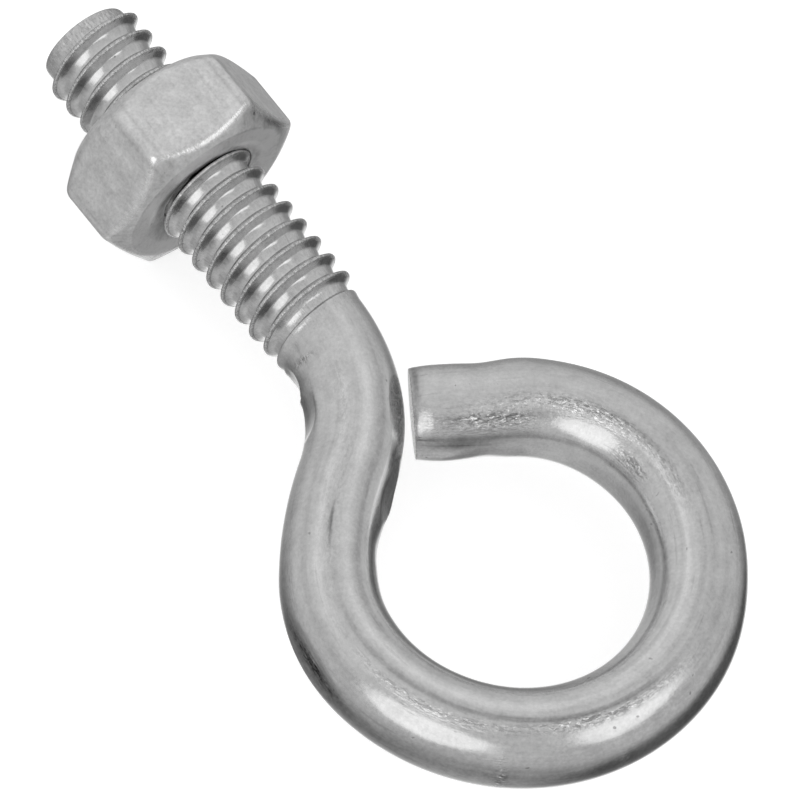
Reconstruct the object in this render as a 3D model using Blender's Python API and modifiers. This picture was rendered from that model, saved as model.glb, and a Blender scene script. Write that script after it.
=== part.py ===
"""Bent-wire eye bolt, 1/4-20 by 2 in, with its hex nut.

The bolt lies along +X. The centre of the shank's free end is the origin and the shank's axis is
the X axis. The wire is bent in the XY plane, so +Z is square to the eye.
"""
import math

import bmesh
import bpy
from mathutils import Matrix, Vector

# ---- driving dimensions, in metres and degrees -------------------------------------------------
PITCH = 0.00127                 # twenty threads to the inch
MAJOR_RADIUS = 0.00311          # over the thread's crests
CORE_RADIUS = 0.00240           # at the bottom of the thread
ROD_RADIUS = 0.00268            # plain wire, thinner than the thread that is rolled on it
SHANK_LENGTH = 0.0211           # free end to the start of the neck's bend

THREAD_START = 0.00064          # where the first crest begins
THREAD_TURNS = 15.625
THREAD_PHASE = -45.0            # where around the shank it begins, in degrees from +Y
THREAD_END = 0.0207             # the plain wire starts here
RIDGE_FOOT = 0.46               # half widths of the ridge, as shares of the pitch
RIDGE_SHOULDER = 0.24
RIDGE_CREST = 0.09
SHOULDER_HEIGHT = 0.72          # share of the thread's depth

NECK_BEND = (-55.0, 0.0100)     # each bend is its turn in degrees and its radius
NECK_RETURN = (17.0, 0.0205)
EYE_LEAD_IN = (47.0, 0.00785)
EYE_MAIN = (159.0, 0.0103)
EYE_CLOSING = (73.0, 0.00855)
TIP_LENGTH = 0.0056             # straight wire at the end of the eye

END_FACE_RADIUS = 0.00245
COLLAR_RADIUS = 0.00262         # plain collar between the end's chamfer and the thread
COLLAR_START = 0.0002
COLLAR_END = 0.0005

NUT_ACROSS_FLATS = 0.0110
NUT_THICKNESS = 0.0055
NUT_FACE_X = 0.01125            # bearing face, on the side of the eye
NUT_CLOCKING = 5.0              # turn of the nut about the shank, in degrees
CHAMFER_CIRCLE_RADIUS = 0.0050  # circle that the corner chamfers leave on each face
CHAMFER_ANGLE = 40.0            # from the nut's face
BORE_RADIUS = 0.00335           # clears the crests, so the nut can run along the thread
COUNTERSINK = 0.00035           # depth of the 45 degree countersink in each face

# ---- fineness ----------------------------------------------------------------------------------
BEND_STEP = 6.0                 # degrees of bend between two rings of the wire
BEVEL_RESOLUTION = 8            # twenty facets around the wire
THREAD_STEPS = 20               # facets in one turn of the thread
TURNED_STEPS = 36               # facets around the nut's bore and chamfers
EMBED = 0.0003                  # how far the ridge's foot sits inside the core
STEP_LENGTH = 0.0001            # length of the shoulder where the core grows to the wire
OVERRUN = 0.001                 # how far a cutter or a blank passes the faces it makes
MERGE = 0.000001
CREASE = 40.0                   # edges sharper than this, in degrees, stay crisp

# ---- finish ------------------------------------------------------------------------------------
WIRE_FINISH = (0.60, 0.30)      # grey and roughness of the zinc plate
NUT_FINISH = (0.66, 0.34)


def clear_scene():
    for item in list(bpy.data.objects):
        bpy.data.objects.remove(item, do_unlink=True)


def new_collection(name):
    made = bpy.data.collections.new(name)
    bpy.context.scene.collection.children.link(made)
    return made


def zinc_plate(name, grey, roughness):
    made = bpy.data.materials.new(name)
    made.use_nodes = True
    shader = made.node_tree.nodes["Principled BSDF"]
    shader.inputs["Base Color"].default_value = (grey, grey, grey, 1.0)
    shader.inputs["Metallic"].default_value = 1.0
    shader.inputs["Roughness"].default_value = roughness
    return made


def add_object(name, data, home):
    made = bpy.data.objects.new(name, data)
    home.objects.link(made)
    return made


def add_from_bmesh(name, bm, home):
    mesh = bpy.data.meshes.new(name)
    bm.to_mesh(mesh)
    bm.free()
    return add_object(name, mesh, home)


def as_cutter(item):
    item.hide_render = True
    item.display_type = "WIRE"
    return item


def add_boolean(item, operation, other):
    modifier = item.modifiers.new(other.name, "BOOLEAN")
    modifier.operation = operation
    modifier.solver = "EXACT"
    modifier.object = other


def finish(item, material):
    """Give a part its material, and shade its round faces smooth between its real edges."""
    item.data.materials.clear()
    item.data.materials.append(material)
    item.data.shade_smooth()
    item.data.set_sharp_from_angle(angle=math.radians(CREASE))


def evaluated_mesh(item):
    bpy.context.view_layer.update()
    depsgraph = bpy.context.evaluated_depsgraph_get()
    return bpy.data.meshes.new_from_object(item.evaluated_get(depsgraph))


def along_shank(x, turn):
    """Placement that lays local Z along the shank and turns local X by an angle from +Y."""
    about = math.radians(turn)
    across = Vector((0.0, math.cos(about), math.sin(about)))
    along = Vector((1.0, 0.0, 0.0))
    placed = Matrix((across, along.cross(across), along)).transposed().to_4x4()
    return Matrix.Translation((x, 0.0, 0.0)) @ placed


# ---- the bent wire -----------------------------------------------------------------------------
def bend(start, heading, turn, radius):
    """Points along one bend, without its first one, and the heading that it ends with."""
    steps = math.ceil(abs(turn) / BEND_STEP)
    side = math.copysign(radius, turn)
    centre = start + side * Vector((-math.sin(heading), math.cos(heading), 0.0))
    points = []
    for step in range(1, steps + 1):
        angle = heading + math.radians(turn) * step / steps
        points.append(centre + side * Vector((math.sin(angle), -math.cos(angle), 0.0)))
    return points, angle


def wire_route():
    """Centre line from the free end to the tip of the eye, each point with the wire's radius."""
    shank = (
        (0.0, END_FACE_RADIUS),
        (COLLAR_START, COLLAR_RADIUS),
        (COLLAR_END, COLLAR_RADIUS),
        (COLLAR_END + STEP_LENGTH, CORE_RADIUS),
        (THREAD_END, CORE_RADIUS),
        (THREAD_END + STEP_LENGTH, ROD_RADIUS),
        (SHANK_LENGTH, ROD_RADIUS),
    )
    route = [(Vector((x, 0.0, 0.0)), radius) for x, radius in shank]
    heading = 0.0
    for turn, radius in (NECK_BEND, NECK_RETURN, EYE_LEAD_IN, EYE_MAIN, EYE_CLOSING):
        points, heading = bend(route[-1][0], heading, turn, radius)
        route += [(point, ROD_RADIUS) for point in points]
    onward = Vector((math.cos(heading), math.sin(heading), 0.0))
    route.append((route[-1][0] + TIP_LENGTH * onward, ROD_RADIUS))
    return route


def bent_wire(name, home):
    """The wire as a bevelled curve, made a mesh with its caps welded on."""
    route = wire_route()
    curve = bpy.data.curves.new(name, "CURVE")
    curve.dimensions = "3D"
    curve.bevel_depth = ROD_RADIUS
    curve.bevel_resolution = BEVEL_RESOLUTION
    curve.use_fill_caps = True
    spline = curve.splines.new("POLY")
    spline.points.add(len(route) - 1)
    for point, (place, radius) in zip(spline.points, route):
        point.co = (*place, 1.0)
        point.radius = radius / ROD_RADIUS
    guide = add_object(name + "_route", curve, home)
    mesh = evaluated_mesh(guide)
    made = add_object(name, mesh, home)
    made.matrix_world = guide.matrix_world
    bpy.data.objects.remove(guide, do_unlink=True)

    bm = bmesh.new()
    bm.from_mesh(mesh)
    bmesh.ops.remove_doubles(bm, verts=bm.verts, dist=MERGE)
    bmesh.ops.recalc_face_normals(bm, faces=bm.faces)
    bm.to_mesh(mesh)
    bm.free()
    return made


# ---- turned and threaded shapes ----------------------------------------------------------------
def profile_object(name, points, home, closed):
    """Edges through (radius, height) points, in the half plane at local +X."""
    bm = bmesh.new()
    verts = [bm.verts.new((radius, 0.0, height)) for radius, height in points]
    for here, following in zip(verts, verts[1:]):
        bm.edges.new((here, following))
    if closed:
        bm.edges.new((verts[-1], verts[0]))
    return add_from_bmesh(name, bm, home)


def add_screw(item, turns, steps, climb):
    modifier = item.modifiers.new("screw", "SCREW")
    modifier.axis = "Z"
    modifier.angle = math.tau * turns
    modifier.steps = steps
    modifier.render_steps = steps
    modifier.screw_offset = climb
    modifier.use_merge_vertices = climb == 0.0
    modifier.merge_threshold = MERGE


def turned(name, points, home):
    """A solid of revolution whose outline runs from the axis, down its outer side, to the axis."""
    made = profile_object(name, points, home, closed=False)
    add_screw(made, 1.0, TURNED_STEPS, 0.0)
    return made


def ridge_section():
    """Outline of the thread's ridge as (radius, height), from its upper foot to its lower one."""
    depth = MAJOR_RADIUS - CORE_RADIUS
    upper = (
        (CORE_RADIUS - EMBED, RIDGE_FOOT * PITCH),
        (CORE_RADIUS + SHOULDER_HEIGHT * depth, RIDGE_SHOULDER * PITCH),
        (MAJOR_RADIUS, RIDGE_CREST * PITCH),
    )
    lower = [(radius, -height) for radius, height in reversed(upper)]
    return [*upper, *lower]


def thread_ridge(home):
    """The rolled thread's helical ridge, swept by a Screw and closed at both ends."""
    section = profile_object("ridge_section", ridge_section(), home, closed=True)
    add_screw(section, THREAD_TURNS, round(THREAD_TURNS * THREAD_STEPS), THREAD_TURNS * PITCH)
    bm = bmesh.new()
    bm.from_mesh(evaluated_mesh(section))
    bpy.data.objects.remove(section, do_unlink=True)
    bmesh.ops.holes_fill(bm, edges=[edge for edge in bm.edges if edge.is_boundary])
    bmesh.ops.recalc_face_normals(bm, faces=bm.faces)
    made = add_from_bmesh("thread_ridge", bm, home)
    made.matrix_world = along_shank(THREAD_START, THREAD_PHASE)
    return made


# ---- the two parts -----------------------------------------------------------------------------
def make_eye_bolt(parts, cutters, material):
    bolt = bent_wire("eye_bolt", parts)
    add_boolean(bolt, "UNION", as_cutter(thread_ridge(cutters)))
    finish(bolt, material)


def make_hex_nut(parts, cutters, material):
    """A hexagon blank trimmed to its thickness and chamfers by a turned shape, then bored."""
    half = NUT_THICKNESS / 2.0
    placement = along_shank(NUT_FACE_X - half, NUT_CLOCKING)

    bm = bmesh.new()
    bmesh.ops.create_cone(
        bm, cap_ends=True, segments=6, depth=NUT_THICKNESS + 2.0 * OVERRUN,
        radius1=NUT_ACROSS_FLATS / math.sqrt(3.0), radius2=NUT_ACROSS_FLATS / math.sqrt(3.0),
        matrix=Matrix.Rotation(math.radians(90.0), 4, "Z"),
    )
    nut = add_from_bmesh("hex_nut", bm, parts)

    rim = CHAMFER_CIRCLE_RADIUS + half / math.tan(math.radians(CHAMFER_ANGLE))
    trim = turned("nut_chamfers", (
        (0.0, half), (CHAMFER_CIRCLE_RADIUS, half), (rim, 0.0),
        (CHAMFER_CIRCLE_RADIUS, -half), (0.0, -half),
    ), cutters)
    past = half + OVERRUN
    mouth = BORE_RADIUS + COUNTERSINK + OVERRUN
    bore = turned("nut_bore", (
        (0.0, past), (mouth, past), (BORE_RADIUS, half - COUNTERSINK),
        (BORE_RADIUS, COUNTERSINK - half), (mouth, -past), (0.0, -past),
    ), cutters)

    for item in (nut, trim, bore):
        item.matrix_world = placement
    add_boolean(nut, "INTERSECT", as_cutter(trim))
    add_boolean(nut, "DIFFERENCE", as_cutter(bore))
    finish(nut, material)


def main():
    clear_scene()
    parts = new_collection("eye_bolt_assembly")
    cutters = new_collection("cutters")
    make_eye_bolt(parts, cutters, zinc_plate("zinc_wire", *WIRE_FINISH))
    make_hex_nut(parts, cutters, zinc_plate("zinc_nut", *NUT_FINISH))


main()
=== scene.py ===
"""The looks of a bent-wire eye bolt and its hex nut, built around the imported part.

Lengths are in millimetres, and become metres where a mesh is written. A place on the wire is
given by how far along the wire it is from the free end, and by an angle around the wire, which
runs from the wire's left side, seen from above, towards +Z. The nut's angles run the same way.
"""
import math

import bpy
import numpy as np
from mathutils import Matrix, Vector


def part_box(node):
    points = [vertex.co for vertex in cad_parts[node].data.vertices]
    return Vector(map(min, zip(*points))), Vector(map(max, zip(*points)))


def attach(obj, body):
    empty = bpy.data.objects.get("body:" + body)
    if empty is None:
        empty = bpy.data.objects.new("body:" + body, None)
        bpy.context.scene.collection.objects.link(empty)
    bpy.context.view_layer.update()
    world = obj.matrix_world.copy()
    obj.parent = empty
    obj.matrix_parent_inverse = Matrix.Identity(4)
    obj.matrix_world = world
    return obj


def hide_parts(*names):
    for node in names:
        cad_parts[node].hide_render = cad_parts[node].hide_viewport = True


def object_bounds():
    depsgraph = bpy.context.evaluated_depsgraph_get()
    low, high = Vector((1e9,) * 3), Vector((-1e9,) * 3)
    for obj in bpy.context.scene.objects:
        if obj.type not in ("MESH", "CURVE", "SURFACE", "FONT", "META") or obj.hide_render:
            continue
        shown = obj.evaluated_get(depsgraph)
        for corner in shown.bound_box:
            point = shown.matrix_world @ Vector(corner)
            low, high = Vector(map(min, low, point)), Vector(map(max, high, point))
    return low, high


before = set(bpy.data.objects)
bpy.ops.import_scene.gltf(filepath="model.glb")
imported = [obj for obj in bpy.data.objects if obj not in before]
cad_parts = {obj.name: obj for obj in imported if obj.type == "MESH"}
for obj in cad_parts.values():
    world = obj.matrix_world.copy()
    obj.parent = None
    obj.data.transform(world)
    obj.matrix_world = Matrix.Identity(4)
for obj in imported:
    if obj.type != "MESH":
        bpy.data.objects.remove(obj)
cad_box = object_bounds()

MM = 0.001
TURN = 2.0 * math.pi

# ---- the wire's route ---------------------------------------------------------------------------
SHANK_LENGTH = 21.1
BENDS = ((-55.0, 10.0), (17.0, 20.5), (47.0, 7.85), (159.0, 10.3), (73.0, 8.55))
TIP_LENGTH = 5.6
TIP_LEAN = 10.1                 # degrees that the sheared end is off square
TIP_LEAN_AT = 70.0              # angle of the side that stands out most
TIP_LEAN_LENGTH = 3.0           # length of wire that leans with the end
TIP_SET_BACK = 0.9              # along the wire, for a lean of one to one
WIRE_LENGTH = SHANK_LENGTH + sum(abs(math.radians(a)) * r for a, r in BENDS) + TIP_LENGTH
RADII_START = 19.0              # from here on the wire's radii are spread evenly
WIRE_RADII = (2.71, 2.66, 2.62, 2.68, 2.61, 2.63, 2.67, 2.69, 2.53)
COLUMNS = 128                   # points around the wire
RING_STEP = 0.2                 # between the rings of the unthreaded wire

# ---- the rolled thread --------------------------------------------------------------------------
PITCH = 1.27
SEAM_ANGLE = -64.4              # where around the shank the crests are counted from
FIRST_CREST = 0.57              # along the shank, at the seam
LAST_CREST = 15
CREST_PROFILE = (               # distance past the middle of the crest, radius; the root is round
    (-0.635, 2.537), (-0.55, 2.513), (-0.46, 2.490), (-0.40, 2.488), (-0.36, 2.510), (-0.32, 2.565),
    (-0.26, 2.670), (-0.20, 2.800), (-0.14, 2.930), (-0.08, 3.050), (-0.04, 3.105), (0.0, 3.085),
    (0.04, 3.110), (0.09, 3.060), (0.16, 2.940), (0.24, 2.800), (0.32, 2.690), (0.38, 2.630),
    (0.44, 2.598), (0.54, 2.566), (0.635, 2.537),
)
THREAD_START = 0.45             # between these two the surface's rows follow the thread
THREAD_STOP = 22.4
FADE_IN = 100.0                 # degrees over which the thread rises, and runs out
FADE_OUT = 130.0
CREST_WAVER = (0.006, 3.0, 1.3) # height, waves in a turn, and shift in radians from crest to crest
CREST_TOP = 3.0                 # radius above which the waver acts
COLLAR_CRESTS = 7.5             # up to this crest the thread rises from the collar's radius
COLLAR_RADIUS = 2.63
SHOULDER_LIP = (0.07, 1.05, 0.26)   # ridge past the last crest: height, distance and width
END_PROFILE = (                 # along the shank, radius: the free end's rounded edge
    (0.0, 2.36), (0.01, 2.44), (0.045, 2.52), (0.10, 2.575), (0.18, 2.61), (0.30, 2.625),
)
END_RINGS = (0.85, 0.6, 0.3, 0.1)   # rings of the free end's face, as shares of its radius
END_DISH = 0.05                 # how far the middle of that face is sunk

# ---- the nut ------------------------------------------------------------------------------------
NUT_CLOCKING = 5.0              # degrees from the wire's left side to the nut's first corner
APOTHEM = 5.5                   # from the axis to a flat
SIXTH = math.radians(60.0)
TWELFTH = math.radians(30.0)
CORNER_COLUMNS = (-7.0, 7.0, 19)    # degrees from a corner, and how many columns lie there
FLAT_COLUMNS = (9.5, 50.5, 17)
FLAT_ROWS = 18
CHAMFER_CIRCLES = (4.85, 5.0)   # where the faces at the outer and the eye's end stop
CHAMFER_SLOPE = math.tan(math.radians(40.0))
CHAMFER_UNEVEN = (0.90, -75.0, 90.0)    # how much flatter the eye side's is, where, how wide
MOUTH_RADIUS = 3.95
MOUTH_SLOPE = 5.0               # how fast the mouth narrows with depth
MOUTH_ROUNDING = 0.05
FACE_ROWS = (0.1, 0.8, 6)       # from and to which share of the face its rows lie, and how many
FACE_ROUNDING = (0.12, 0.3)     # rounding between face and chamfer: most, and share of the slant
EDGE_ROUNDING = (0.46, 0.55)    # the same between chamfer and flat
CHAMFER_MIDDLE = 0.42           # place of the row between them, as a share of the slant
NUT_MINOR_RADIUS = 2.60
THREAD_CLEARANCE = 0.05
CORNER_ROUNDING = (0.30, 0.60)  # radius of the hexagon's corners at the outer and the eye's end
ROUNDING_GROWTH = 1.3           # how unevenly it grows from one end to the other

# ---- tool marks, painted shade and light: distance along, reach, angle and spread in degrees, amount ---
SWELLS = (
    (21.75, 0.40, 205.0, 50.0, 0.16), (22.9, 1.1, 205.0, 40.0, 0.15), (25.0, 0.6, 196.0, 20.0, 0.11),
    (29.0, 1.3, 15.0, 30.0, -0.05), (31.8, 0.9, 8.0, 30.0, 0.12), (35.0, 1.8, 10.0, 35.0, -0.19),
    (41.5, 2.5, 25.0, 30.0, 0.08), (40.6, 1.3, 164.0, 3.0, 0.08), (41.3, 1.2, 176.0, 3.0, 0.08),
    (66.5, 2.5, 172.0, 30.0, -0.08), (74.5, 5.0, -28.0, 26.0, 0.10),
    (82.2, 1.3, 148.0, 24.0, 0.06), (84.4, 1.1, 150.0, 35.0, -0.08), (84.3, 0.9, -22.0, 26.0, -0.10),
    (86.6, 1.1, -14.0, 16.0, 0.07),
)
FACETS = (                      # distance along, half length, angle, depth of a flat
    (27.2, 1.9, 42.0, 0.065), (31.6, 2.6, 22.0, 0.10), (24.1, 1.3, 196.0, 0.16),
    (27.3, 2.0, 172.0, 0.20), (40.9, 2.2, 170.0, 0.21), (87.9, 1.9, 10.0, 0.08),
)
SCUFFS = (                      # places rubbed rough
    (46.5, 4.5, 108.0, 5.0, 0.8), (55.0, 4.0, 103.0, 6.0, 1.0), (79.0, 5.5, 72.0, 9.0, 1.0),
    (84.4, 2.4, 50.0, 11.0, 1.2), (74.3, 1.3, 46.0, 8.0, 1.0), (72.0, 2.0, 72.0, 14.0, 0.4),
    (50.5, 0.25, 172.0, 26.0, 0.9), (23.4, 0.25, 150.0, 18.0, 0.8), (56.0, 0.2, 165.0, 12.0, 0.5),
    (0.5, 0.6, 110.0, 75.0, 0.5), (34.0, 6.0, 100.0, 12.0, 0.25), (27.0, 3.2, 112.0, 6.0, 0.35),
    (41.0, 1.5, 170.0, 12.0, 0.6), (21.3, 0.8, 90.0, 60.0, 0.2),
)
# painted reflections: darker and lighter places and lengthwise bands on the wire that stand in for
# what it reflects
PAINTED_SHADING_MARKS = (                      # painted shade, and painted highlights where the amount is below 0
    (41.5, 6.0, 176.0, 22.0, 0.8), (53.0, 7.5, 168.0, 18.0, 0.7), (24.0, 1.8, 190.0, 17.0, 1.2),
    (26.6, 1.6, 182.0, 12.0, 0.6), (34.9, 1.2, 99.0, 2.2, 0.9), (75.5, 4.5, 78.0, 3.5, 0.5),
    (84.0, 3.5, 54.0, 4.0, 0.5), (56.0, 5.0, 96.0, 3.0, 0.4), (26.9, 1.6, 152.0, 2.2, 0.5),
    (30.0, 3.0, 118.0, 2.5, 0.2), (86.0, 2.2, 17.0, 8.0, 0.8), (32.0, 2.6, 20.0, 14.0, -0.5),
    (47.0, 12.0, 44.0, 6.0, 0.5), (38.0, 8.0, 129.0, 5.0, 0.30), (64.0, 7.0, 112.0, 4.0, 0.18),
    (68.5, 3.5, 151.0, 6.0, 0.7), (88.05, 0.22, 115.0, 45.0, 0.8), (85.5, 2.6, 25.0, 5.0, 0.6),
    (27.2, 1.5, 46.0, 9.0, -0.5), (50.0, 11.0, 94.0, 3.5, 0.45), (46.0, 14.0, 79.0, 6.0, -0.40),
    (38.0, 11.0, 64.0, 4.0, 0.30), (36.0, 8.0, 112.0, 6.0, -0.35), (41.0, 1.7, 168.0, 8.0, 0.5),
    (58.0, 9.0, 108.0, 5.0, 0.15), (70.0, 6.0, 96.0, 6.0, 0.20), (81.0, 5.0, 118.0, 9.0, 0.20),
    (33.0, 3.6, 47.5, 2.2, -1.2), (43.0, 7.0, 50.0, 2.2, -0.8), (38.0, 9.0, 39.0, 4.0, 0.5),
    (68.0, 12.0, 66.0, 4.0, -0.35), (61.0, 9.0, 84.0, 4.0, 0.3), (28.0, 5.0, 84.0, 6.0, -0.3),
    (27.5, 5.0, 66.0, 6.0, 0.2), (44.5, 5.0, 96.0, 4.0, 0.25), (66.0, 12.0, 60.0, 3.0, 0.2),
    (60.0, 9.0, 126.0, 3.5, 0.15),
)
FACET_REACH = 0.7               # cosine of the widest angle that a flat reaches
CREST_WEAR = 0.5
CREST_WORN = (2.98, 3.08)       # radii between which the crests' wear comes in
CUT_WEAR = 0.8                  # of the wire's two ends
END_WORN = (0.04, 0.0)          # distances between which the free end's wear comes in
TIP_WORN = (-0.06, -0.02)       # the same, from the sheared end
SHADE_STRIPES = ((152.0, 15.0, 0.65), (24.0, 10.0, 0.40))     # painted shade on the thread: angle, spread, amount of painted shade
STRIPE_ROOT = (2.50, 2.62)      # radii between which the stripes come in
STRIPE_CREST = (3.06, 2.96)     # and those between which they go again
STRIPE_START = 1.3              # distance along the shank where they begin
STRIPE_STOP = (20.6, 20.3)      # and distances between which they fade out
TIP_PROFILE = (                 # distance from the sheared end, how far its edge is drawn in
    (1.3, 0.0), (1.0, 0.03), (0.75, 0.085), (0.5, 0.17), (0.32, 0.24), (0.2, 0.30), (0.12, 0.36),
    (0.05, 0.44), (0.0, 0.54),
)
TIP_DRAWN = (66.0, 46.0, 0.22)  # where the edge is drawn in most, how wide, and the least share
TIP_RINGS = (0.8, 0.55, 0.3, 0.1)   # rings of the sheared face, as shares of its radius

# ---- the nut's wear, and its painted shade and light --------------------------------------------
CREASE_WIDTH = 0.3              # of the worn line where chamfer and flats meet
CORNER_WEAR = 0.3
CORNER_WORN = (6.1, 6.3)        # radii between which the corners' wear comes in
WEAR_FROM = 5.2                 # radius inside which the nut has no wear
THROAT_SHADE = 0.15             # painted shade that darkens the bore
THROAT = (3.1, 2.95)            # radii between which that comes in
FACE_PAINTED_LIGHT = -0.6               # painted light: below 0, which paints the face brighter
FACE_DEPTH = (-0.12, -0.02)     # distances from the face between which its painted light comes in
FACE_EDGE = (0.15, 0.0)         # distances past its edge, the same
SLOPE_SHADE = 0.22              # painted shade on the chamfer
SLOPE_EDGE = (0.0, 0.2)         # distances past the face's edge between which that comes in
SLOPE_DEPTH = (0.0, 0.3)        # distances from the flats, the same
BORDER = (0.35, 0.09)           # painted shade: amount and width of the dark line around the face
BORDER_DEPTH = (-0.3, -0.1)     # distances from the face between which it comes in
CORNER_SHADE_LINES = (0.22, 3.9, 0.8)        # painted dark lines beside each corner: amount of painted shade, degrees from it, and width
CORNER_SHADE_FROM = (5.4, 0.3)         # their least radius, and least distance past the face's edge

# ---- the plating --------------------------------------------------------------------------------
NOISES = {                      # scale, detail, squeeze along the part, and roughness
    "cloud": (0.9, 5.0, 1.0, 0.60),
    "grain": (5.0, 3.0, 1.0, 0.65),
    "streak": (1.6, 6.0, 0.03, 0.70),
    "scratch": (3.2, 2.0, 0.09, 0.50),
    "fleck": (6.5, 3.0, 0.35, 0.75),
    "spark": (9.0, 2.0, 0.40, 0.50),
    "painted_glint": (7.5, 2.0, 0.45, 0.50),
    "pit": (1.9, 2.0, 1.0, 0.50),
}
PATCHES = {                     # values between which a noise turns into patches
    "scratch": (0.64, 0.72), "fleck": (0.49, 0.57), "painted_glint": (0.58, 0.66), "pit": (0.735, 0.77),
}
GRAIN_SHARE = 1.1               # the grain's strength in the tone, as a share of the clouds'
# tone changes of pits and scratches, and of the painted shade and light
TONE_MARKS = {"pit": -0.25, "scratch": -0.07, "painted_shading": -0.45}
ROUGHNESS_MARKS = {"cloud": 0.12, "grain": 0.14, "streak": 0.7}
HEIGHT_MARKS = {                # millimetres; the rough patches' is a share of the wear's height
    "cloud": 0.008, "grain": 0.0022, "streak": 0.016, "pit": -0.006, "scratch": -0.002, "rough": 0.15,
}
WIRE_FINISH = {
    "tone": 0.64, "roughness": 0.19, "cloudy": 0.26, "drawn": 0.28,
    "worn_tone": -0.30, "worn_roughness": 0.04, "worn_height": 0.11, "painted_glints": 0.70,
}
NUT_FINISH = {
    "tone": 0.72, "roughness": 0.46, "cloudy": 0.40, "drawn": 0.20,
    "worn_tone": 0.04, "worn_roughness": -0.27, "worn_height": 0.012, "painted_glints": 0.10,
}

# ---- floor, light and camera --------------------------------------------------------------------
FLOOR_HALF_SIZE = 3.0           # metres
FLOOR_TONE = 0.9
FLOOR_ROUGHNESS = 0.9
FLOOR_GLOW = 0.55
SKY = (-0.30, 0.05, 0.60, 0.62) # heights between which the brightness changes, and from and to what
DARKEST = 0.11                  # least brightness of the surroundings
GLOWS = (                       # direction, inner and outer angle in degrees, change of brightness
    ((0.566, 0.454, -0.688), 15.0, 42.0, -0.42),
    ((0.380, 0.834, -0.400), 5.0, 32.0, -0.22),
    ((-0.360, -0.511, -0.780), 10.0, 45.0, -0.16),
    ((-0.725, -0.254, -0.640), 8.0, 34.0, -0.14),
    ((-0.341, 0.785, -0.518), 12.0, 42.0, -0.24),
    ((-0.720, 0.106, 0.686), 5.0, 80.0, 0.14),
    ((-0.174, 0.399, -0.900), 14.0, 24.0, 0.50),
)
LAMPS = (                       # name, direction, width and height in metres
    ("box_left", (0.382, -0.736, 0.560), 0.43, 0.40),
    ("box_right", (0.641, 0.293, 0.709), 0.24, 0.44),
)
LAMP_DISTANCE = 0.5             # metres
LAMP_RADIANCE = 0.74
VIEW_AZIMUTH = 35.715
VIEW_ELEVATION = 60.066
VIEW_ROLL = 18.8
VIEW_DISTANCE = 346.2           # millimetres
VIEW_OFFSET = (1.691, 1.086, 0.0)   # what the camera aims at, from the middle of the CAD box
VIEW_LENS = 292.5
VIEW_CLIP = (0.01, 10.0)        # metres


def smooth(value):
    """A smooth step from 0 to 1 as the value goes from 0 to 1."""
    share = np.clip(value, 0.0, 1.0)
    return share * share * (3.0 - 2.0 * share)


def ramp(value, none, full):
    """A smooth rise from 0 at one value to 1 at another, which may be the smaller."""
    return smooth((value - none) / (full - none))


def away(angle, at):
    """Degrees from a given number of degrees to an angle, from -180 to 180."""
    return (np.degrees(angle) - at + 180.0) % 360.0 - 180.0


def flank(angle, at, spread):
    """1 at an angle in degrees, falling to 0 on both sides of it."""
    return np.exp(-(away(angle, at) / spread) ** 2)


def hill(along, angle, centre, reach, at, spread):
    """A smooth swelling of height 1 at a distance along the wire and an angle in degrees."""
    return np.exp(-((along - centre) / reach) ** 2 - (away(angle, at) / spread) ** 2)


def route(along):
    """Centre line's points and headings for an array of distances along the wire."""
    along = np.asarray(along, float)
    points = np.zeros(along.shape + (2,))
    headings = np.zeros(along.shape)
    pieces = [(SHANK_LENGTH, 0.0)]
    pieces += [(abs(math.radians(a)) * r, math.copysign(1.0 / r, a)) for a, r in BENDS]
    pieces += [(TIP_LENGTH, 0.0)]
    begun, heading, place = 0.0, 0.0, np.zeros(2)
    for length, curve in pieces:
        here = along >= begun
        for target, distance in ((here, along[here] - begun), (None, np.array([length]))):
            turned = heading + curve * distance
            if curve:
                step = np.stack((np.sin(turned) - math.sin(heading),
                                 math.cos(heading) - np.cos(turned)), -1) / curve
            else:
                step = distance[:, None] * np.array((math.cos(heading), math.sin(heading)))
            if target is not None:
                points[target], headings[target] = place + step, turned
            else:
                place, heading = place + step[0], turned[0]
        begun += length
    return points, headings


def on_wire(along, angle, radius):
    """Points in millimetres at a distance along the wire, an angle around it and a radius."""
    centre, heading = route(along)
    across, up = radius * np.cos(angle), radius * np.sin(angle)
    return np.stack((centre[..., 0] - across * np.sin(heading),
                     centre[..., 1] + across * np.cos(heading), up), -1)


def helical_grid(start, stop, offsets, first, angles):
    """Rows that follow a thread, cut off square at both ends.

    Gives each point's place along the axis and its column, the two end rings and the faces.
    """
    per_turn, count = len(offsets), len(angles)
    turns = np.arange(math.floor((start - first) / PITCH) - 2, math.ceil((stop - first) / PITCH) + 3)
    rows = (first + PITCH * turns[:, None] + np.asarray(offsets)[None, :]).ravel()
    along = rows[:, None] + PITCH * angles[None, :] / TURN
    inside = (along > start) & (along < stop)
    column = np.broadcast_to(np.arange(count), along.shape)
    number = np.where(along <= start, column, column + count)
    number[inside] = 2 * count + np.arange(inside.sum())
    wrapped = np.full((len(rows), 1), count)
    wrapped[:-per_turn, 0] = number[per_turn:, 0]
    wide = np.hstack((number, wrapped))
    faces = []
    for low, high in zip(wide[:-1], wide[1:]):
        for a, b, c, d in zip(low[:-1], high[:-1], high[1:], low[1:]):
            corners = list(dict.fromkeys((int(a), int(b), int(c), int(d))))
            if len(corners) > 2:
                faces.append(corners)
    places = np.concatenate((np.full(count, start), np.full(count, stop), along[inside]))
    columns = np.concatenate((np.arange(count), np.arange(count), column[inside]))
    return places, columns, np.arange(count), np.arange(count, 2 * count), faces


def band(first, second):
    """Faces between two rings of point numbers, wound as helical_grid's are."""
    following = np.roll(first, -1), np.roll(second, -1)
    return [list(map(int, f)) for f in zip(first, second, following[1], following[0])]


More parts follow.
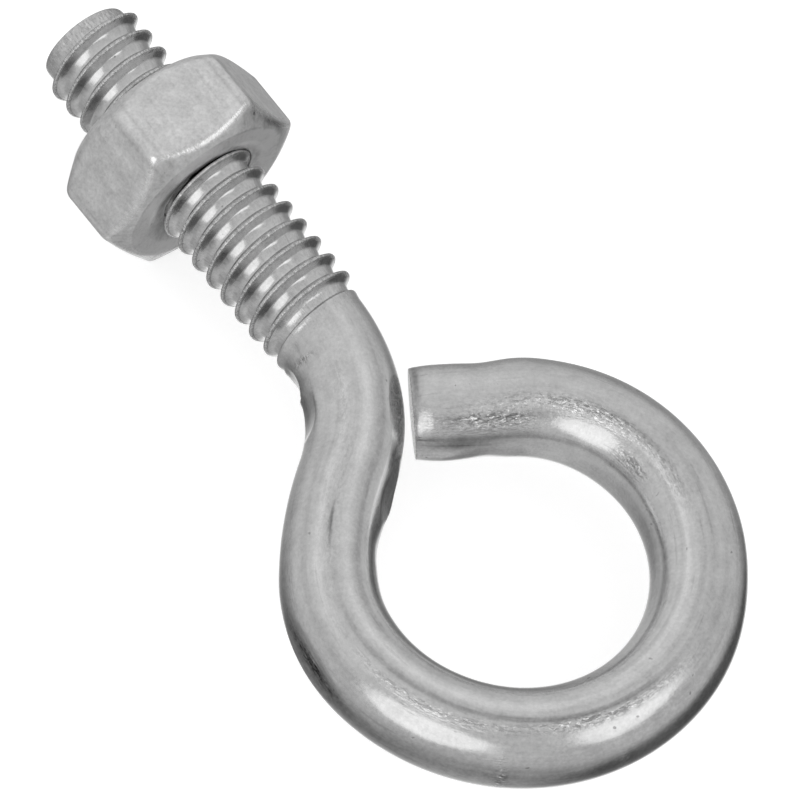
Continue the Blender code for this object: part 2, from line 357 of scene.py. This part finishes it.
def make_mesh(name, points, faces, unbent, wear, painted_shading, material):
    """A smooth object that carries each point's place on the straight part, its wear, and its painted
    shade and light.
    """
    mesh = bpy.data.meshes.new(name)
    mesh.from_pydata((np.asarray(points) * MM).tolist(), [], faces)
    mesh.validate()
    mesh.shade_smooth()
    place = mesh.attributes.new("unbent", "FLOAT_VECTOR", "POINT")
    place.data.foreach_set("vector", np.asarray(unbent, np.float32).ravel())
    for label, values in (("wear", wear), ("painted_shading", painted_shading)):
        mesh.attributes.new(label, "FLOAT", "POINT").data.foreach_set(
            "value", np.asarray(values, np.float32).ravel())
    mesh.materials.append(material)
    made = bpy.data.objects.new(name, mesh)
    bpy.context.scene.collection.objects.link(made)
    return made


# ---- the bolt's surface -------------------------------------------------------------------------
def thread_profile(offset):
    """The thread's radius at a distance past the middle of a crest."""
    places, radii = zip(*CREST_PROFILE)
    return np.interp(offset, places, radii)


def thread_angle(angle):
    """Turn since the seam, from 0 to a whole turn."""
    return np.mod(angle - math.radians(SEAM_ANGLE), TURN)


def wire_radius(along):
    """The unthreaded wire's radius, an average of five places close together."""
    knots = np.linspace(RADII_START, WIRE_LENGTH, len(WIRE_RADII))
    near = np.interp(along, knots, WIRE_RADII)
    spread = 0.25 * (knots[1] - knots[0])
    beside = [np.interp(along + k * spread, knots, WIRE_RADII) for k in (-2, -1, 1, 2)]
    return (near + sum(beside)) / 5.0


def threaded_radius(along, angle):
    """Radius of the wire with its thread, which fades in and out within its end turns."""
    turn = thread_angle(angle)
    count = (along - FIRST_CREST) / PITCH - turn / TURN
    nearest = np.round(count)
    crest = thread_profile((count - nearest) * PITCH)
    waver, waves, shift = CREST_WAVER
    crest += waver * np.sin(waves * turn + shift * nearest) * (crest > CREST_TOP)
    low = np.where(count < COLLAR_CRESTS, COLLAR_RADIUS, wire_radius(along))
    above, below = np.maximum(crest - low, 0.0), np.minimum(crest - low, 0.0)
    begun = smooth(np.degrees(turn) / FADE_IN)
    left = smooth((360.0 - np.degrees(turn)) / FADE_OUT)
    above = above * np.where(count < -0.5, 0.0, np.where(count < 0.5, begun, 1.0))
    below = below * np.where(count < 0.0, 0.0, np.where(count < 1.0, begun, 1.0))
    above = above * np.where(count > LAST_CREST + 0.5, 0.0,
                             np.where(count > LAST_CREST - 0.5, left, 1.0))
    below = below * np.where(count > LAST_CREST + 1.0, 0.0,
                             np.where(count > LAST_CREST, left, 1.0))
    height, distance, width = SHOULDER_LIP
    lip = height * np.exp(-(((count - LAST_CREST) * PITCH - distance) / width) ** 2) * left
    return low + above + below + lip


def marked(along, angle, marks):
    """How strongly a list of marks acts at points of the wire."""
    return sum(amount * hill(along, angle, centre, reach, at, spread)
               for centre, reach, at, spread, amount in marks)


def bolt_radius(along, angle):
    """Radius of the wire with its thread, swellings and pressed flats."""
    radius = threaded_radius(along, angle) + marked(along, angle, SWELLS)
    for centre, half, at, depth in FACETS:
        sunk = depth * (1.0 - ((along - centre) / half) ** 2)
        facing = np.cos(angle - math.radians(at))
        limit = (wire_radius(along) - sunk) / np.maximum(facing, FACET_REACH)
        flattened = (sunk > 0.0) & (facing > FACET_REACH)
        radius = np.where(flattened, np.minimum(radius, limit), radius)
    return radius


def bolt_wear(along, angle, radius):
    """How scuffed the wire is: the crests of the thread, the rubbed places and the cut ends."""
    crests = CREST_WEAR * ramp(radius, *CREST_WORN) * (along < THREAD_STOP)
    cut = CUT_WEAR * (ramp(along, *END_WORN) + ramp(along - WIRE_LENGTH, *TIP_WORN))
    return np.clip(crests + cut + marked(along, angle, SCUFFS), 0.0, 1.0)


def bolt_painted_shading(along, angle, radius):
    """Painted shade and light on the wire: the marked places, and painted shade stripes down the
    thread.
    """
    stripe = sum(amount * flank(angle, at, spread) for at, spread, amount in SHADE_STRIPES)
    stripe = stripe * ramp(radius, *STRIPE_CREST) * ramp(radius, *STRIPE_ROOT)
    stripe = stripe * (along > STRIPE_START) * ramp(along, *STRIPE_STOP)
    return marked(along, angle, PAINTED_SHADING_MARKS) + stripe


def make_bolt(material):
    """The threaded shank, the bent wire and both its ends as one closed surface."""
    angles = TURN * np.arange(COLUMNS) / COLUMNS
    around = angles + math.radians(SEAM_ANGLE)
    offsets = sorted(d for d, _ in CREST_PROFILE[:-1])
    places, columns, first, last, faces = helical_grid(
        THREAD_START, THREAD_STOP, offsets, FIRST_CREST, angles)
    along, angle = places, around[columns]
    radius = bolt_radius(along, angle)
    rings = {"along": [along], "angle": [angle], "radius": [radius]}
    total = len(along)

    def add_ring(where, size):
        nonlocal total
        rings["along"].append(np.broadcast_to(where, (COLUMNS,)))
        rings["angle"].append(around)
        rings["radius"].append(np.broadcast_to(size, (COLUMNS,)))
        total += COLUMNS
        return np.arange(total - COLUMNS, total)

    previous = first
    for where, size in reversed(END_PROFILE):
        ring = add_ring(where, size)
        faces += band(ring, previous)
        previous = ring
    for share in END_RINGS:
        ring = add_ring(END_DISH * (1.0 - share), END_PROFILE[0][1] * share)
        faces += band(ring, previous)
        previous = ring
    faces.append([int(i) for i in previous])

    previous = last
    stop = WIRE_LENGTH - TIP_PROFILE[0][0]
    for where in np.linspace(THREAD_STOP, stop, round((stop - THREAD_STOP) / RING_STEP))[1:]:
        ring = add_ring(where, bolt_radius(np.full(COLUMNS, where), around))
        faces += band(previous, ring)
        previous = ring
    at, spread, least = TIP_DRAWN
    share = least + (1.0 - least) * flank(around, at, spread)
    for before_end, drawn_in in TIP_PROFILE[1:]:
        where = WIRE_LENGTH - before_end
        size = bolt_radius(np.full(COLUMNS, where), around) - drawn_in * share
        ring = add_ring(where, size)
        faces += band(previous, ring)
        previous = ring
    for share in TIP_RINGS:
        ring = add_ring(WIRE_LENGTH, size * share)
        faces += band(previous, ring)
        previous = ring
    faces.append([int(i) for i in reversed(previous)])

    along, angle, radius = (np.concatenate(rings[k]) for k in ("along", "angle", "radius"))
    lean = smooth((along - (WIRE_LENGTH - TIP_LEAN_LENGTH)) / TIP_LEAN_LENGTH)
    lean = lean * math.tan(math.radians(TIP_LEAN))
    leading = radius * np.cos(angle - math.radians(TIP_LEAN_AT))
    shifted = along + lean * (leading - TIP_SET_BACK)
    points = on_wire(shifted, angle, radius)
    unbent = np.stack((along, radius * np.cos(angle), radius * np.sin(angle)), -1)
    faces = [f[::-1] for f in faces]
    wear = bolt_wear(along, angle, radius)
    painted_shading = bolt_painted_shading(along, angle, radius)
    return make_mesh("bolt_wire", points, faces, unbent, wear, painted_shading, material)


# ---- the nut's surface --------------------------------------------------------------------------
def past_corner(angle):
    """Angle past the nearest corner, from an angle past the first one."""
    return np.mod(angle + TWELFTH, SIXTH) - TWELFTH


def hexagon_radius(angle, rounding):
    """Distance from the axis to a hexagon whose corners are rounded to a radius."""
    from_corner = past_corner(angle)
    flat = APOTHEM / np.cos(np.abs(from_corner) - TWELFTH)
    centre = (APOTHEM - rounding) / math.cos(TWELFTH)
    inside = np.maximum(rounding ** 2 - (centre * np.sin(from_corner)) ** 2, 0.0)
    rounded = centre * np.cos(from_corner) + np.sqrt(inside)
    tangent = np.arctan2(math.sin(TWELFTH) * rounding, centre + math.cos(TWELFTH) * rounding)
    return np.where(np.abs(from_corner) < tangent, rounded, flat)


def corner_rounding(share):
    """Rounding of the corners at a share of the way from the outer face to the eye's face."""
    low, high = CORNER_ROUNDING
    return low + (high - low) * np.clip(share, 0.0, 1.0) ** ROUNDING_GROWTH


def eased(before, corner, after, reach, steps=5):
    """Points of a small curve in place of a sharp corner. Each point is (radius, place)."""
    def towards(point):
        way = point - corner
        return corner + way * (reach / np.linalg.norm(way, axis=-1, keepdims=True))
    start, end = towards(before), towards(after)
    shares = np.linspace(0.0, 1.0, steps)
    return [(1 - t) ** 2 * start + 2 * t * (1 - t) * corner + t * t * end for t in shares]


def nut_columns():
    """Angles around the nut from its first corner, close together at the corners."""
    near = np.concatenate((np.linspace(*CORNER_COLUMNS), np.linspace(*FLAT_COLUMNS)))
    return np.radians(np.sort(np.concatenate([(near + 60.0 * k) % 360.0 for k in range(6)])))


def nut_marks(place, radius, from_seam, crease, face):
    """Wear, and painted shade and light, at points of the nut.

    crease is where the chamfer on the eye's side meets the flats at each point's angle, and face
    is where that side's face is.
    """
    from_circle = radius - CHAMFER_CIRCLES[1]
    wear = np.exp(-((place - crease) / CREASE_WIDTH) ** 2)
    wear = wear + CORNER_WEAR * ramp(radius, *CORNER_WORN)
    wear = np.clip(wear, 0.0, 1.0) * (radius > WEAR_FROM)

    # painted shade in the bore, painted light on the face, painted shade on the chamfer, a painted
    # dark line around the face and painted dark lines beside the corners
    painted_shading = THROAT_SHADE * ramp(radius, *THROAT)
    painted_shading += FACE_PAINTED_LIGHT * ramp(place - face, *FACE_DEPTH) * ramp(from_circle, *FACE_EDGE)
    painted_shading += SLOPE_SHADE * ramp(from_circle, *SLOPE_EDGE) * ramp(place - crease, *SLOPE_DEPTH)
    amount, width = BORDER
    painted_shading += amount * np.exp(-(from_circle / width) ** 2) * ramp(place - face, *BORDER_DEPTH)
    amount, distance, width = CORNER_SHADE_LINES
    from_corner = np.abs(np.degrees(past_corner(from_seam)))
    corner_shade = np.exp(-((from_corner - distance) / width) ** 2)
    least_radius, least_past = CORNER_SHADE_FROM
    return wear, painted_shading + amount * corner_shade * (radius > least_radius) * (from_circle > least_past)


def make_nut(material):
    """The bore's thread, both mouths, faces and chamfers and the flats as one closed surface."""
    low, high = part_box("hex_nut")
    outer, inner = low.x / MM, high.x / MM
    depth = inner - outer
    from_seam = nut_columns()
    first_corner = math.radians(NUT_CLOCKING)
    around = from_seam + first_corner
    count = len(around)
    crest_there = FIRST_CREST + PITCH * thread_angle(np.array([first_corner]))[0] / TURN
    offsets = sorted(d for d, _ in CREST_PROFILE[:-1])
    places, columns, first, last, faces = helical_grid(
        outer + MOUTH_ROUNDING, inner - MOUTH_ROUNDING, offsets, crest_there, from_seam)
    crest = (places - crest_there) / PITCH - from_seam[columns] / TURN
    groove = np.maximum(thread_profile((crest - np.round(crest)) * PITCH) + THREAD_CLEARANCE,
                        NUT_MINOR_RADIUS)
    cone = MOUTH_RADIUS - MOUTH_SLOPE * np.minimum(inner - places, places - outer)
    radius = np.maximum(groove, cone)

    def profile_row(radii, place):
        return np.stack((np.broadcast_to(radii, (count,)).astype(float),
                         np.broadcast_to(place, (count,)).astype(float)), -1)

    def face_circle(side):
        """Radius at which the face at the outer or the eye's end turns into the chamfer."""
        return CHAMFER_CIRCLES[int(side > 0.0)]

    def steepness(side):
        """The chamfer's slope around the nut, as shares of the usual one."""
        flatter, at, spread = CHAMFER_UNEVEN
        return 1.0 - (side > 0.0) * flatter * flank(around, at, spread)

    def outer_edge(face, side):
        """Where the chamfer meets the flats, from the face at that end.

        The corners' rounding depends on this place, so it is settled in a few rounds.
        """
        slope = CHAMFER_SLOPE * steepness(side)
        place = np.full(count, face)
        for _ in range(3):
            size = hexagon_radius(from_seam, corner_rounding((place - outer) / depth))
            place = face - side * (size - face_circle(side)) * slope
        return profile_row(size, place)

    def half_profile(face, side):
        """Rows from the mouth over the face and the chamfer to the flats."""
        mouth, circle = profile_row(MOUTH_RADIUS, face), profile_row(face_circle(side), face)
        edge = outer_edge(face, side)
        deep = profile_row(MOUTH_RADIUS - MOUTH_SLOPE * MOUTH_ROUNDING, face - side * MOUTH_ROUNDING)
        middle = profile_row(edge[:, 0], edge[:, 1] - side)
        rows = eased(deep, mouth, circle, MOUTH_ROUNDING)[1:]
        rows += [mouth + (circle - mouth) * share for share in np.linspace(*FACE_ROWS)]
        slant = np.linalg.norm(edge - circle, axis=-1, keepdims=True)
        most, slant_share = FACE_ROUNDING
        rows += eased(mouth, circle, edge, np.minimum(most, slant_share * slant))
        rows.append(circle + (edge - circle) * CHAMFER_MIDDLE)
        most, slant_share = EDGE_ROUNDING
        rounding = np.minimum(most * steepness(side)[:, None], slant_share * slant)
        rows += eased(circle, edge, middle, rounding, steps=9)
        return rows

    rows = half_profile(inner, 1.0)
    far_rows = half_profile(outer, -1.0)[::-1]
    top, bottom = rows[-1][:, 1], far_rows[0][:, 1]
    for share in np.linspace(0.0, 1.0, FLAT_ROWS)[1:-1]:
        place = top + (bottom - top) * share
        rows.append(profile_row(
            hexagon_radius(from_seam, corner_rounding((place - outer) / depth)), place))
    rows += far_rows

    total = len(places)
    all_radius, all_place, all_angle = [radius], [places], [around[columns]]
    previous = last
    for row in rows:
        ring = np.arange(total, total + count)
        total += count
        all_radius.append(row[:, 0])
        all_place.append(row[:, 1])
        all_angle.append(around)
        faces += band(previous, ring)
        previous = ring
    faces += band(previous, first)
    radius, place, angle = (np.concatenate(v) for v in (all_radius, all_place, all_angle))
    points = np.stack((place, radius * np.cos(angle), radius * np.sin(angle)), -1)
    crease = np.interp(angle, around, outer_edge(inner, 1.0)[:, 1])
    wear, painted_shading = nut_marks(place, radius, angle - first_corner, crease, inner)
    return make_mesh("nut_body", points, faces, points, wear, painted_shading, material)


# ---- materials ----------------------------------------------------------------------------------
def node(tree, kind, **settings):
    """A new node of a kind, with its settings."""
    made = tree.nodes.new(kind)
    for name, value in settings.items():
        setattr(made, name, value)
    return made


def fill(tree, made, values):
    """Set a node's inputs, by their names or numbers, to values or to other nodes' sockets."""
    for key, value in values.items():
        if isinstance(value, bpy.types.NodeSocket):
            tree.links.new(value, made.inputs[key])
        else:
            made.inputs[key].default_value = value
    return made


def calculate(tree, operation, a, b=0.0, c=0.0):
    """The output of a maths node."""
    made = node(tree, "ShaderNodeMath", operation=operation)
    return fill(tree, made, {0: a, 1: b, 2: c}).outputs[0]


def noise(tree, place, scale, detail, squeeze, roughness):
    """Noise in millimetres, drawn out along the part where squeeze is less than 1."""
    mapped = node(tree, "ShaderNodeMapping")
    fill(tree, mapped, {"Vector": place, "Scale": (squeeze, 1.0, 1.0)})
    made = node(tree, "ShaderNodeTexNoise")
    fill(tree, made, {"Vector": mapped.outputs[0], "Scale": scale, "Detail": detail,
                      "Roughness": roughness})
    return made.outputs[0]


def between(tree, value, low, high, out_low=0.0, out_high=1.0):
    """A smooth change from one output to another as the value goes from low to high."""
    made = node(tree, "ShaderNodeMapRange", interpolation_type="SMOOTHSTEP")
    return fill(tree, made, {0: value, 1: low, 2: high, 3: out_low, 4: out_high}).outputs[0]


def weighed(tree, base, parts):
    """base plus the parts, each (socket, weight), with noises taken about their middle value."""
    total = base - sum(0.5 * weight for _, weight in parts)
    for socket, weight in parts:
        total = calculate(tree, "MULTIPLY_ADD", socket, weight, total)
    return total


def zinc(name, tone, roughness, cloudy, drawn, worn_tone, worn_roughness, worn_height, painted_glints):
    """Bright zinc plate: cloudy, finely mottled, drawn along the part, scuffed where worn, with
    painted shade and painted highlights.

    cloudy and drawn say how strongly the tone varies in patches and in lengthwise lines. The
    worn values are what wear does to the tone, the roughness and the height in millimetres, and
    the last value is how bright the painted highlights are: flecks painted brighter in worn places.
    """
    material = bpy.data.materials.new(name)
    material.use_nodes = True
    tree = material.node_tree
    shader = tree.nodes["Principled BSDF"]
    place = node(tree, "ShaderNodeAttribute", attribute_name="unbent").outputs["Vector"]
    wear = node(tree, "ShaderNodeAttribute", attribute_name="wear").outputs["Fac"]
    painted_shading = node(tree, "ShaderNodeAttribute", attribute_name="painted_shading").outputs["Fac"]
    noises = {label: noise(tree, place, *values) for label, values in NOISES.items()}
    patches = {label: between(tree, noises[label], *edges) for label, edges in PATCHES.items()}
    cloud, grain, streak = noises["cloud"], noises["grain"], noises["streak"]
    pit, scratch = patches["pit"], patches["scratch"]
    rough = calculate(tree, "MULTIPLY", wear, patches["fleck"])
    spark = calculate(tree, "MULTIPLY", wear, noises["spark"])
    # painted highlights: bright flecks painted into the tone where the part is worn
    painted_glint = calculate(tree, "MULTIPLY", calculate(tree, "MULTIPLY", wear, wear), patches["painted_glint"])

    grey = weighed(tree, tone, [(cloud, cloudy), (grain, GRAIN_SHARE * cloudy), (streak, drawn)])
    # painted shade and light: this darkens the tone where the carried value is above 0 and brightens
    # it where it is below 0
    for mark, amount in ((pit, TONE_MARKS["pit"]), (scratch, TONE_MARKS["scratch"]),
                         (rough, worn_tone), (painted_shading, TONE_MARKS["painted_shading"]), (painted_glint, painted_glints)):
        grey = calculate(tree, "MULTIPLY_ADD", mark, amount, grey)
    grey = calculate(tree, "MINIMUM", grey, 1.0)
    colour = node(tree, "ShaderNodeCombineColor")
    fill(tree, colour, {0: grey, 1: grey, 2: grey})

    dull = weighed(tree, roughness, [
        (cloud, ROUGHNESS_MARKS["cloud"]), (grain, ROUGHNESS_MARKS["grain"]),
        (streak, ROUGHNESS_MARKS["streak"] * drawn)])
    dull = calculate(tree, "MULTIPLY_ADD", wear, worn_roughness, dull)

    height = weighed(tree, 0.0, [
        (cloud, HEIGHT_MARKS["cloud"]), (grain, HEIGHT_MARKS["grain"]),
        (streak, HEIGHT_MARKS["streak"] * drawn)])
    for mark, amount in ((rough, HEIGHT_MARKS["rough"] * worn_height), (spark, worn_height),
                         (pit, HEIGHT_MARKS["pit"]), (scratch, HEIGHT_MARKS["scratch"])):
        height = calculate(tree, "MULTIPLY_ADD", mark, amount, height)
    bump = fill(tree, node(tree, "ShaderNodeBump"), {"Height": height, "Distance": MM})
    fill(tree, shader, {"Base Color": colour.outputs[0], "Metallic": 1.0, "Roughness": dull,
                        "Normal": bump.outputs[0]})
    return material


# ---- floor, light and camera --------------------------------------------------------------------
def make_floor(height):
    """A pale floor that glows a little, shows in no reflection and keeps no light away."""
    size = FLOOR_HALF_SIZE
    mesh = bpy.data.meshes.new("floor")
    corners = [(-size, -size, height), (size, -size, height), (size, size, height),
               (-size, size, height)]
    mesh.from_pydata(corners, [], [(0, 1, 2, 3)])
    material = bpy.data.materials.new("pale_floor")
    material.use_nodes = True
    shader = material.node_tree.nodes["Principled BSDF"]
    shader.inputs["Base Color"].default_value = (FLOOR_TONE, FLOOR_TONE, FLOOR_TONE, 1.0)
    shader.inputs["Roughness"].default_value = FLOOR_ROUGHNESS
    shader.inputs["Emission Color"].default_value = (1.0, 1.0, 1.0, 1.0)
    shader.inputs["Emission Strength"].default_value = FLOOR_GLOW
    mesh.materials.append(material)
    floor = bpy.data.objects.new("floor", mesh)
    bpy.context.scene.collection.objects.link(floor)
    floor.visible_glossy = False
    floor.visible_shadow = False


def make_world():
    """Even grey surroundings with broad darker and lighter patches."""
    world = bpy.data.worlds.new("studio")
    bpy.context.scene.world = world
    world.use_nodes = True
    tree = world.node_tree
    background = tree.nodes["Background"]
    direction = node(tree, "ShaderNodeTexCoord").outputs["Generated"]
    parts = node(tree, "ShaderNodeSeparateXYZ")
    fill(tree, parts, {0: direction})
    level = between(tree, parts.outputs["Z"], *SKY)
    for towards, inner, outer, change in GLOWS:
        facing = node(tree, "ShaderNodeVectorMath", operation="DOT_PRODUCT")
        fill(tree, facing, {0: direction, 1: Vector(towards).normalized()})
        edges = [math.cos(math.radians(a)) for a in (outer, inner)]
        share = between(tree, facing.outputs["Value"], *edges)
        level = calculate(tree, "MULTIPLY_ADD", share, change, level)
    level = calculate(tree, "MAXIMUM", level, DARKEST)
    colour = node(tree, "ShaderNodeCombineColor")
    fill(tree, colour, {0: level, 1: level, 2: level})
    tree.links.new(colour.outputs[0], background.inputs["Color"])


def soft_box(name, direction, width, height, target, across):
    """An oval lamp that faces the object from a direction, its width lying across."""
    lamp = bpy.data.lights.new(name, "AREA")
    lamp.shape = "ELLIPSE"
    lamp.size, lamp.size_y = width, height
    lamp.energy = LAMP_RADIANCE * math.pi * width * height * math.pi / 4.0
    made = bpy.data.objects.new(name, lamp)
    outward = Vector(direction).normalized()
    side = (across - across.dot(outward) * outward).normalized()
    turned = Matrix((side, outward.cross(side), outward)).transposed().to_4x4()
    made.matrix_world = Matrix.Translation(target + LAMP_DISTANCE * outward) @ turned
    bpy.context.scene.collection.objects.link(made)


def view_axes():
    """The camera's right and backward directions."""
    azimuth, elevation = math.radians(VIEW_AZIMUTH), math.radians(VIEW_ELEVATION)
    back = Vector((math.sin(azimuth) * math.cos(elevation),
                   -math.cos(azimuth) * math.cos(elevation), math.sin(elevation)))
    level = Vector((math.cos(azimuth), math.sin(azimuth), 0.0))
    return Matrix.Rotation(math.radians(VIEW_ROLL), 3, back) @ level, back


def make_camera(middle):
    """The camera, which looks down at the object through a long lens."""
    right, back = view_axes()
    turned = Matrix((right, back.cross(right), back)).transposed().to_4x4()
    data = bpy.data.cameras.new("camera")
    data.lens = VIEW_LENS
    data.clip_start, data.clip_end = VIEW_CLIP
    camera = bpy.data.objects.new("camera", data)
    aim = middle + MM * Vector(VIEW_OFFSET)
    camera.matrix_world = Matrix.Translation(aim + MM * VIEW_DISTANCE * back) @ turned
    bpy.context.scene.collection.objects.link(camera)
    bpy.context.scene.camera = camera


middle = (cad_box[0] + cad_box[1]) / 2.0
middle.z = 0.0
bolt = make_bolt(zinc("zinc_wire", **WIRE_FINISH))
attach(bolt, "bolt")
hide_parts("eye_bolt")
nut = make_nut(zinc("zinc_nut", **NUT_FINISH))
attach(nut, "nut")
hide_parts("hex_nut")

make_floor(cad_box[0].z)
make_world()
view_right = view_axes()[0]
for lamp_name, lamp_direction, lamp_width, lamp_height in LAMPS:
    soft_box(lamp_name, lamp_direction, lamp_width, lamp_height, middle, view_right)
make_camera(middle)
bpy.context.scene.view_settings.view_transform = "Standard"
